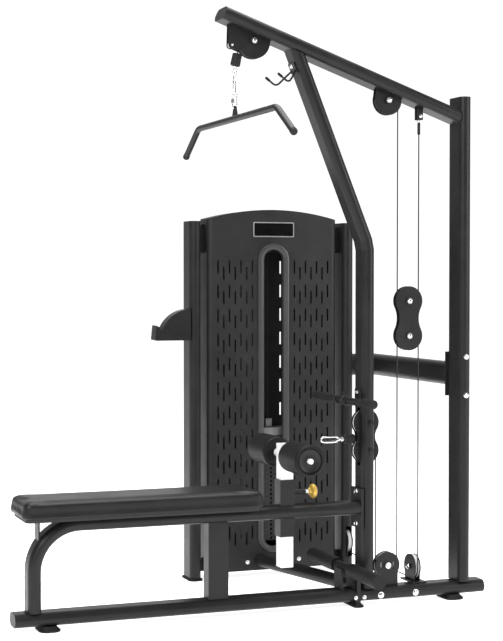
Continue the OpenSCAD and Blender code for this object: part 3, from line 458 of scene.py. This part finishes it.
def seat_pad():
    """The vinyl pad, swelled by a short cloth simulation held at its base."""
    lo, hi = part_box("seat_pad")
    size, mid = hi - lo, (hi + lo) / 2
    w, d, h = size.x * 1000 - 3, size.y * 1000 - 3, size.z * 1000 + 3
    # Rounded body, a little smaller than the finished pad
    edge, corner = 13, 32
    levels = [(2, 0), (0, 3), (0, h - edge)]
    levels += [(edge * (1 - math.cos(a)), h - edge + edge * math.sin(a))
               for a in (math.radians(k) for k in (18, 36, 54, 72, 90))]
    rings = [[(mid.x + x / 1000, mid.y + y / 1000, lo.z + z / 1000)
              for x, y in soft_box(w - 2 * inset, d - 2 * inset, corner - min(inset, 12), 10)]
             for inset, z in levels]
    o = add("seat_pad_vinyl", loft("seat_pad_vinyl", rings), VINYL, None, 0)
    bpy.context.view_layer.objects.active = o
    remesh = o.modifiers.new("voxels", "REMESH")
    remesh.mode = "VOXEL"
    remesh.voxel_size = 0.006
    bpy.context.view_layer.update()
    o.data = bpy.data.meshes.new_from_object(
        o.evaluated_get(bpy.context.evaluated_depsgraph_get()))
    o.modifiers.clear()
    start = [v.co.copy() for v in o.data.vertices]
    held = o.vertex_groups.new(name="held")
    held.add([v.index for v in o.data.vertices if v.co.z < lo.z + 0.010], 1.0, "REPLACE")
    last, cap = 20, 0.006  # frames, and how far a point may move in metres
    cloth = o.modifiers.new("cloth", "CLOTH")
    s = cloth.settings
    s.effector_weights.gravity = 0
    s.use_pressure = True
    s.uniform_pressure_force = 4
    s.vertex_group_mass = "held"
    s.quality = 5
    s.tension_stiffness = s.compression_stiffness = 25
    s.bending_stiffness = 3
    scene.frame_start, scene.frame_end = 1, last
    cloth.point_cache.frame_start, cloth.point_cache.frame_end = 1, last
    for f in range(1, last + 1):
        scene.frame_set(f)
    done = bpy.data.meshes.new_from_object(
        o.evaluated_get(bpy.context.evaluated_depsgraph_get()))
    o.modifiers.clear()
    for v, p in zip(done.vertices, start):
        move = v.co - p
        if move.length > cap:
            v.co = p + move * (cap / move.length)
    o.data = done
    scene.frame_set(1)
    o.data.materials.clear()
    o.data.materials.append(VINYL)
    o.data.polygons.foreach_set("use_smooth", [True] * len(o.data.polygons))
    soft = o.modifiers.new("soften", "SMOOTH")
    soft.iterations, soft.factor = 4, 0.5
    sub = o.modifiers.new("fine", "SUBSURF")
    sub.levels = sub.render_levels = 1
    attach(o, "frame")
    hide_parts("seat_pad")


seat_pad()

# ---------------------------------------------------------------- knee rollers and pop pin


def roller(name, node, side, body):
    """A foam roller with a dished plug and a small screw in its outer end."""
    lo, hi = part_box(node)
    inner = min(abs(lo.y - PLANE), abs(hi.y - PLANE)) * 1000
    n = (hi.y - lo.y) * 1000
    start = at(KNEE_AXIS[0], side * inner, KNEE_AXIS[1])
    profile = [(11, 5), (37, 5), (40, 4), (44, 1), (49, 0), (54, 1.2), (57.5, 4), (59.2, 9)]
    profile += [(59.2 + 0.8 * math.sin(math.pi * k / 10), 9 + (n - 18) * k / 10)
                for k in range(1, 10)]
    profile += [(59.2, n - 9), (58, n - 4), (55.5, n - 1.2), (52.5, n), (49.5, n - 0.4),
                (47.5, n - 2), (46.5, n - 5), (46, n - 9), (44, n - 10), (20, n - 10.5),
                (11, n - 11)]
    o = lathe(name, profile, start, Y * side, FOAM, body, 96, 0)
    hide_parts(node)
    cap = lathe(name + "_plug", [(45.5, n - 11), (45, n - 5), (43.5, n - 3.6), (41.5, n - 4.2),
                                 (38, n - 7), (26, n - 9), (12, n - 9.6), (9, n - 8.4),
                                 (0, n - 8.4)],
                start, Y * side, PLASTIC, body, 64, 40)
    end = lathe(name + "_screw", [(4.2, n - 9), (4, n - 7), (3, n - 6), (0, n - 5.6)],
                start, Y * side, BRIGHT, body, 32, 0)


roller("near_foam", "near_roller", -1, "near_knee_roller")
roller("far_foam", "far_roller", 1, "far_knee_roller")

knob_at = at(205, 0, 458)
knob = lathe("pop_knob", [(0, 0), (11, 0), (12.5, 2), (14, 6), (18, 9.5), (23, 12), (27, 14.5),
                          (28.5, 18), (28.5, 21), (27.4, 25), (24, 29), (18, 32.4), (10, 34.4),
                          (0, 35)], knob_at, X, GOLD, "pop_pin_knob", 64, 0)
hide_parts("pop_pin")
lathe("pop_collar", [(4.5, -11.5), (8.5, -11.5), (9.5, -10), (9.5, -3), (8.5, -1), (10, 0),
                     (10, 1)], knob_at, X, BRIGHT, "pop_pin_knob", 40)
lathe("pop_shaft", [(0, -71), (4, -71), (4.5, -69), (4.5, -8)],
      knob_at, X, BRIGHT, "pop_pin_knob", 24)

# ---------------------------------------------------------------- lat hanger, links and bar

lat_x, bar_z = -96, 1889
top, bottom = at(-86, 0, 2134), at(lat_x, 0, 2088)
down = (bottom - top).normalized()
drop = (bottom - top).length * 1000
stopper = lathe("stopper_rubber", [(2.5, 0), (13, 0), (16.6, 1.2), (18.2, 4), (19, drop - 5),
                                   (18.2, drop - 1.6), (16, drop), (0, drop)],
                top, down, RUBBER, "lat_hanger", 48, 40)
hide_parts("lat_stopper")

eye = tube("eye_link", ring_path(at(lat_x, 0, 2066.7), 17, 21, X, Z), 2.5, BRIGHT,
           "lat_swivel_link", True)
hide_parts("lat_link")
lathe("eye_shank", [(0, -1.5), (4, -1.5), (4.5, -3), (4.5, -5), (3.4, -6), (3.4, -9.5), (0, -9.5)],
      at(lat_x, 0, 2088), Z, BRIGHT, "lat_swivel_link", 24)
tube("clip", ring_path(at(lat_x, 0, 2019.1), 22, 86, Y, Z), 3, BRIGHT, "lat_swivel_link", True)
tube("clip_sleeve", [at(lat_x, 11, 2001), at(lat_x, 11, 2037)], 4.3, BRIGHT, "lat_swivel_link")
tube("quick_link", ring_path(at(lat_x, 0, 1954.5), 18, 56, X, Z), 3, BRIGHT,
     "lat_swivel_link", True)
lathe("quick_nut", [(3, -8), (5.6, -8), (6, -7), (6, 7), (5.6, 8), (3, 8)],
      at(lat_x - 9, 0, 1954.5), Z, BRIGHT, "lat_swivel_link", 6)


def bar_path():
    """The lat bar's corners, and its path with each bend rounded."""
    half, tip_y, fall = 430, 600, 107
    angle = math.atan2(fall, tip_y - half)
    tip = math.hypot(fall, tip_y - half - 12.5 * math.sin(angle))
    end = (half + tip * math.cos(angle), bar_z - tip * math.sin(angle))
    pts = [at(lat_x, -end[0], end[1]), at(lat_x, -half, bar_z), at(lat_x, half, bar_z),
           at(lat_x, end[0], end[1])]
    return pts, rounded(pts, 80, 14)


corners, path = bar_path()
bar = tube("lat_bar_tube", path, 12.5, PAINT, "lat_bar_assembly", count=32)
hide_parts("lat_bar")
for i, (end, inner) in enumerate(((corners[0], corners[1]), (corners[3], corners[2]))):
    out = (end - inner).normalized()
    lathe(f"bar_cap_{i}", [(12.4, -16), (13.4, -15.5), (13.6, -14), (13.6, -2.5), (12.6, -0.8),
                           (10, 0), (0, 0.3)], end, out, RUBBER, "lat_bar_assembly", 40, 40)
plate("bar_lug", [(-24, 8), (24, 8), (20, 16), (9.5, 42), (7, 46.5), (3, 48), (-3, 48),
                  (-7, 46.5), (-9.5, 42), (-20, 16)], [circle(0, 37, 6, 24)], 8, 0.8,
      at(lat_x, 0, bar_z), Y, Z, PAINT, "lat_bar_assembly")

# ---------------------------------------------------------------- low row end and bar

row_z = 655.5
row_end = lathe("row_stopper", [(2.6, 0), (15, 0), (18, 1.5), (19, 4), (19, 27), (18, 30),
                                (15.5, 31.5), (15.5, 33.5), (16.5, 35), (16.5, 44), (15.5, 46),
                                (5, 46)], at(400, 0, row_z), -X, RUBBER, "row_end", 56, 40)
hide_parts("row_cable_end")
lathe("row_swivel", [(0, 45), (8.5, 45), (9.5, 46.5), (9.5, 52), (8, 54), (5, 56), (5, 62), (7, 63),
                     (7, 68), (5, 70), (0, 70)], at(400, 0, row_z), -X, BRIGHT, "row_end", 40)
tube("row_clip", ring_path(at(296, 0, row_z), 20, 72, Z, X), 3.2, BRIGHT, "row_end", True)
tube("row_clip_gate", [at(276, 0, row_z - 10), at(312, 0, row_z - 10)], 4.2, BRIGHT, "row_end")

bar_at = at(355, 0, 811)
handle = tube("row_bar_tube", split(bar_at - Y * 0.276, bar_at + Y * 0.276, 8), 11.8, PAINT,
              "row_bar", count=32)
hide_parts("row_handle")
for s in (-1, 1):
    ribs = [(12, 152)]
    for k in range(15):
        y = 154 + k * 8
        ribs += [(13.0, y), (15.2, y + 1.2), (15.2, y + 4.4), (13.0, y + 5.6)]
    ribs += [(13.3, 272), (16.5, 273), (17, 275), (17, 278), (15.5, 279.6), (11, 280), (0, 280)]
    lathe(f"row_grip_{s + 1}", ribs, bar_at, Y * s, RUBBER, "row_bar", 48, 25)
lathe("row_bar_collar", [(12, -22), (16, -22), (17, -20), (17, 20), (16, 22), (12, 22)], bar_at, Y,
      PAINT, "row_bar", 40)
plate("row_bar_lug", [(-15, 8), (15, 8), (13, 16), (9, 26), (4, 30), (-4, 30), (-9, 26), (-13, 16)],
      [circle(0, 22, 5, 20)], 8, 0.8, bar_at, Y, Z, PAINT, "row_bar")

# ---------------------------------------------------------------- floor feet


def foot(name, x, y, w, d, high):
    """A rubber cup that flares towards the floor, under a tube."""
    rings = [[at(x + px, y + py, z)
              for px, py in soft_box(w + 2 * grow, d + 2 * grow, min(w, d) / 2.6 + grow)]
             for grow, z in ((2, 0), (4, 1), (4, 6), (2, 8), (-8, high - 3), (-9, high))]
    return add(name, loft(name, rings), RUBBER, "frame", 40)


feet_lo, feet_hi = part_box("floor_feet")
rail_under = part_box("main_rail")[0].z * 1000
feet = [foot("rail_foot_front", feet_lo.x * 1000 + 36, 0, 72, 116, rail_under),
        foot("rail_foot_rear", feet_hi.x * 1000 - 36, 0, 72, 116, rail_under),
        foot("rail_foot_joint", 400, 0, 36, 116, rail_under)]
foot("tower_foot_left", TOWER_X - TOWER_FOOT_X, 730, 56, 128, 12)
foot("tower_foot_right", TOWER_X + TOWER_FOOT_X, 730, 56, 128, 12)
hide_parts("floor_feet")

# ---------------------------------------------------------------- storage hooks

for s in (-1, 1):
    lat = rounded([at(146, s * 16, 2084), at(118, s * 50, 2050), at(97, s * 65, 2026),
                   at(55, s * 65, 2058)], 22, 10)
    tube(f"lat_hook_{s + 1}", lat, 4, PAINT, "frame", dome=True, count=16)
    tip, before = lat[-1], lat[-2]
    out = (tip - before).normalized()
    lathe(f"lat_hook_tip_{s + 1}", [(4, -16), (5.2, -15.5), (5.4, -14), (5.4, 1), (4.4, 2.6),
                                    (0, 3.4)], tip - out * 0.002, out, RUBBER, "frame", 20, 40)
    row = rounded([at(418, s * 20, 793), at(351, s * 38, 793), at(337, s * 38, 800),
                   at(331, s * 38, 818)], 12, 8)
    tube(f"row_hook_{s + 1}", row, 4.5, PAINT, "frame", dome=True, count=16)
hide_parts("storage_hooks")
lean = math.radians(22.1)
lean_up = Vector((-math.sin(lean), 0, math.cos(lean)))
lean_out = Vector((-math.cos(lean), 0, -math.sin(lean)))
plate("lat_hook_plate", soft_box(60, 44, 6), [], 6, 1, at(144, 0, 2091) + lean_out * 0.003,
      Y, lean_up, PAINT, "frame")
plate("row_hook_plate", soft_box(52, 74, 6), [], 6, 1, at(417, 0, 816), Y, Z, PAINT, "frame")
bolt("hook_bolt", at(144, 0, 2091) + lean_out * 0.006 + lean_up * 0.008, lean_out, 13, "frame")
bolt("row_hook_bolt", at(414, 0, 838), -X, 12, "frame")

# ---------------------------------------------------------------- window bezel and badge


def swept_ring(name, outline, profile, origin, material, body):
    """A frame round the outline: profile is (outwards, towards -Y) in millimetres, closed."""
    n = len(outline)
    normals = []
    for i in range(n):
        (ax, az), (bx, bz) = outline[i - 1], outline[(i + 1) % n]
        t = Vector((bx - ax, bz - az)).normalized()
        normals.append(Vector((t.y, -t.x)))
    mesh = bpy.data.meshes.new(name)
    bm = bmesh.new()
    loops = [[bm.verts.new(origin + Vector(((x + m.x * o) / 1000, -p / 1000, (z + m.y * o) / 1000)))
              for (x, z), m in zip(outline, normals)] for o, p in profile]
    for a, b in zip(loops, loops[1:] + loops[:1]):
        for k in range(n):
            bm.faces.new([a[k], a[(k + 1) % n], b[(k + 1) % n], b[k]])
    bmesh.ops.recalc_face_normals(bm, faces=bm.faces)
    bm.to_mesh(mesh)
    bm.free()
    return add(name, mesh, material, body, 35)


lo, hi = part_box("window_bezel")
centre = Vector(((lo.x + hi.x) / 2, hi.y, (lo.z + hi.z) / 2))
win_w, win_h = (hi.x - lo.x) * 1000 - 54, (hi.z - lo.z) * 1000 - 54
bezel = swept_ring("bezel_ring", oval(win_w, win_h, 28),
                   [(0, -14), (0, 4.2), (0.8, 5), (9, 5.4), (10, 6), (11.5, 7.4), (13, 8),
                    (20, 7.8), (24.6, 6.4), (26.6, 3.6), (27, 0), (24, -1), (3, -1), (3, -14)],
                   centre, BEZEL, "frame")
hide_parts("window_bezel")

lo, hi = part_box("badge_plate")
mid = Vector(((lo.x + hi.x) / 2, hi.y, (lo.z + hi.z) / 2))
w, h = (hi.x - lo.x) * 1000, (hi.z - lo.z) * 1000
badge = plate("badge_field", soft_box(w - 4, h - 4, 4), [], 3, 0.4, mid - Y * 0.0015, X, Z, BADGE,
              "frame")
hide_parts("badge_plate")
rim = plate("badge_rim", soft_box(w, h, 5), [soft_box(w - 9, h - 9, 3)], 3.6, 0.5, mid - Y * 0.0022,
            X, Z, BADGE_RIM, "frame")

# ---------------------------------------------------------------- bolts

for i, (p, d, size) in enumerate((
        (at(863, -60, 818), -Y, 17), (at(863, -60, 972), -Y, 17),
        (at(410, 0, 323), -X, 17), (at(410, 0, 447), -X, 17),
        (at(388, -48.8, 38), -Y, 12), (at(424, -48.8, 38), -Y, 12),
        (at(495, -49.8, 42), -Y, 19), (at(646, -49.8, 42), -Y, 19),
        (at(208, 678, 66), -Y, 14), (at(446, 678, 66), -Y, 14))):
    bolt(f"frame_bolt_{i}", p, d, size, "frame")
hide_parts("frame_bolts")
for name, (x, z), side, body in (
        ("front", FRONT_WHEEL, 21, "frame"), ("rear", REAR_WHEEL, 21, "frame"),
        ("block_top", BLOCK_TOP, 19, "floating_block"),
        ("block_low", BLOCK_LOW, 19, "floating_block"),
        ("row_low", ROW_LOW, BLACK_AXLE, "frame"), ("row_top", ROW_TOP, BLACK_AXLE, "frame"),
        ("low", LOW_WHEEL, 20, "frame")):
    for s in (-1, 1):
        bolt(f"axle_{name}_{s + 1}", at(x, s * side, z), Y * s, 18, body, 6,
             PAINT if side == BLACK_AXLE else BRIGHT)
for s in (-1, 1):
    bolt(f"axle_turn_{s + 1}", at(TURN_X + s * 20, GROOVE, TURN_Z), X * s, 16, "frame", 5)
    bolt(f"axle_guide_{s + 1}", at(GUIDE_ROLLER[0], s * 13, GUIDE_ROLLER[1]), Y * s, 9, "frame", 4)
    bolt(f"anchor_bolt_{s + 1}", at(ANCHOR[0], s * 14, ANCHOR[1]), Y * s, 12, "frame", 5)

# ---------------------------------------------------------------- cables


def arc(cx, cz, r, a0, a1, y=0, steps=20):
    """Points round a wheel on a Y axis, angles from +X towards +Z."""
    return [at(cx + r * math.cos(a), y, cz + r * math.sin(a))
            for a in (math.radians(a0 + (a1 - a0) * k / steps) for k in range(steps + 1))]


def cable(name, path, body=None):
    """A coated cable along the path; with no body it is left unattached."""
    return tube(name, path, CABLE_R, CABLE, body, count=12)


def on_plane(point, dx=0.0, dz=0.0):
    """The place of an (x, z) pair, moved by that much."""
    return at(point[0] + dx, 0, point[1] + dz)


fall_x, fall_z = REAR_WHEEL[0] - FRONT_WHEEL[0], FRONT_WHEEL[1] - REAR_WHEEL[1]
lean_off = 90 - math.degrees(math.atan2(fall_z, fall_x)) - math.degrees(
    math.asin((FRONT_GROOVE - GROOVE) / math.hypot(fall_x, fall_z)))
run = arc(*FRONT_WHEEL, FRONT_GROOVE, 180, lean_off) + arc(*REAR_WHEEL, GROOVE, lean_off, 0)
lat_run = cable("lat_cable_over_boom", run, "frame")
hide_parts("lat_cable_run")
lathe("cable_ferrule", [(2.5, -72), (5.5, -71), (6, -69), (6, -26), (5, -24), (2.5, -23)],
      on_plane(ANCHOR), Z, PLASTIC, "frame", 24)
tube("cable_thimble", ring_path(on_plane(ANCHOR, 0, -11), 13, 34, X, Z), 2, BRIGHT,
     "frame", True, 12)

hang = cable("lat_cable_hang", split(at(-84, 0, 2184), at(-86, 0, 2134), 24))
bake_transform(hang)
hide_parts("lat_cable_drop")

ferrule_end = on_plane(ANCHOR, 0, -72)
loop = (split(on_plane(REAR_WHEEL, GROOVE), on_plane(BLOCK_TOP, -GROOVE), 40)
        + arc(*BLOCK_TOP, GROOVE, 180, 360)[1:-1]
        + split(on_plane(BLOCK_TOP, GROOVE), ferrule_end, 40))
upper = cable("lat_cable_loop_run", loop)
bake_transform(upper)
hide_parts("lat_cable_loop")

under = (split(on_plane(LOW_WHEEL, GROOVE), on_plane(BLOCK_LOW, -GROOVE), 40)
         + arc(*BLOCK_LOW, GROOVE, 180, 0)[1:-1]
         + split(on_plane(BLOCK_LOW, GROOVE), at(TURN_X, 0, TURN_Z), 40))
lower = cable("low_cable_loop_run", under)
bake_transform(lower)
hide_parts("low_cable_loop")

row_top = at(ROW_LOW[0], 0, row_z)
rise = ([row_top] + arc(*ROW_LOW, GROOVE, 90, 0)[1:] + split(at(494, 0, 600), at(494, 0, 160), 4)
        + arc(*LOW_WHEEL, GROOVE, 180, 360))
low_run = cable("row_cable_run", rise, "frame")
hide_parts("low_cable_run")
quarter = [math.radians(90 * k / 12) for k in range(13)]
floor_run = [at(TURN_X, GROOVE * (1 - math.cos(a)), TURN_Z - GROOVE * math.sin(a)) for a in quarter]
floor_run += [at(TURN_X, STACK_Y - GROOVE + GROOVE * math.sin(a), TURN_Z - GROOVE * math.cos(a))
              for a in quarter]
floor_run += [at(TURN_X, STACK_Y, z) for z in (400, 1000, 1400)]
cable("tower_cable_up", floor_run, "frame")
over = [arc(x, TOP_WHEEL_Z, GROOVE, a, a + 90, STACK_Y)
        for x, a in ((TOP_WHEEL_X[1], 0), (TOP_WHEEL_X[0], 90))]
cable("tower_cable_top", over[0] + over[1], "frame")
end = at(399, 0, row_z)
pull = cable("row_cable_pull", split(row_top, end, 30))
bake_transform(pull)
high, low = at(TOWER_X, STACK_Y, TOP_WHEEL_Z), at(TOWER_X, STACK_Y, 676)
lift = cable("stack_cable_lift", split(high, low, 60))
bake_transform(lift)
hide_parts("stack_cable")

# ---------------------------------------------------------------- floor and light

floor_mat, tree, b = shader("studio_floor", (0.9, 0.9, 0.9), 0.9, Emission_Strength=0.85,
                            Emission_Color=(1, 1, 1, 1))
clouds = texture(tree, "ShaderNodeTexNoise", 0.6)
vary(tree, b, clouds.outputs["Fac"], (0.895, 0.895, 0.895), (0.905, 0.905, 0.905))
mesh = bpy.data.meshes.new("floor")
bm = bmesh.new()
bm.faces.new([bm.verts.new((x, y, 0)) for x, y in ((-16, -9), (16, -9), (16, 30), (-16, 30))])
bm.to_mesh(mesh)
bm.free()
floor = add("floor", mesh, floor_mat, None, 0)

# White behind the machine from any view, but its faces mirror a darker room behind the camera
world = bpy.data.worlds.new("studio")
scene.world = world
world.use_nodes = True
tree = world.node_tree
back = tree.nodes["Background"]
back.inputs["Color"].default_value = (1, 1, 1, 1)
coord = tree.nodes.new("ShaderNodeTexCoord")
facing = tree.nodes.new("ShaderNodeVectorMath")
facing.operation = "DOT_PRODUCT"
bright = math.radians(36)  # where the world is brightest, turned from +Y towards +X
facing.inputs[1].default_value = (math.sin(bright), math.cos(bright), 0)
span = tree.nodes.new("ShaderNodeMapRange")
span.interpolation_type = "SMOOTHSTEP"
span.inputs["From Min"].default_value, span.inputs["From Max"].default_value = 0.60, 0.88
span.inputs["To Min"].default_value, span.inputs["To Max"].default_value = 0.24, 1.08
tree.links.new(coord.outputs["Generated"], facing.inputs[0])
tree.links.new(facing.outputs["Value"], span.inputs["Value"])
seen = tree.nodes.new("ShaderNodeLightPath")
glow = tree.nodes.new("ShaderNodeMath")
glow.operation = "MAXIMUM"
tree.links.new(span.outputs["Result"], glow.inputs[0])
tree.links.new(seen.outputs["Is Camera Ray"], glow.inputs[1])
tree.links.new(glow.outputs["Value"], back.inputs["Strength"])


def softbox(name, place, target, w, h, power):
    """A rectangular area light that faces the target."""
    light = bpy.data.lights.new(name, "AREA")
    light.shape = "RECTANGLE"
    light.size, light.size_y = w, h
    light.energy = power
    o = bpy.data.objects.new(name, light)
    scene.collection.objects.link(o)
    o.location = place
    o.rotation_euler = (Vector(target) - Vector(place)).to_track_quat("-Z", "Y").to_euler()


softbox("key", (-4.2, -4.0, 4.2), (0, 0, 1), 2.4, 2.4, 260)
softbox("fill", (4.5, -3.5, 2.4), (0.2, 0, 1), 2.0, 3.0, 130)
softbox("top", (0, 0.5, 5.2), (0, 0, 0), 4.5, 4.5, 330)
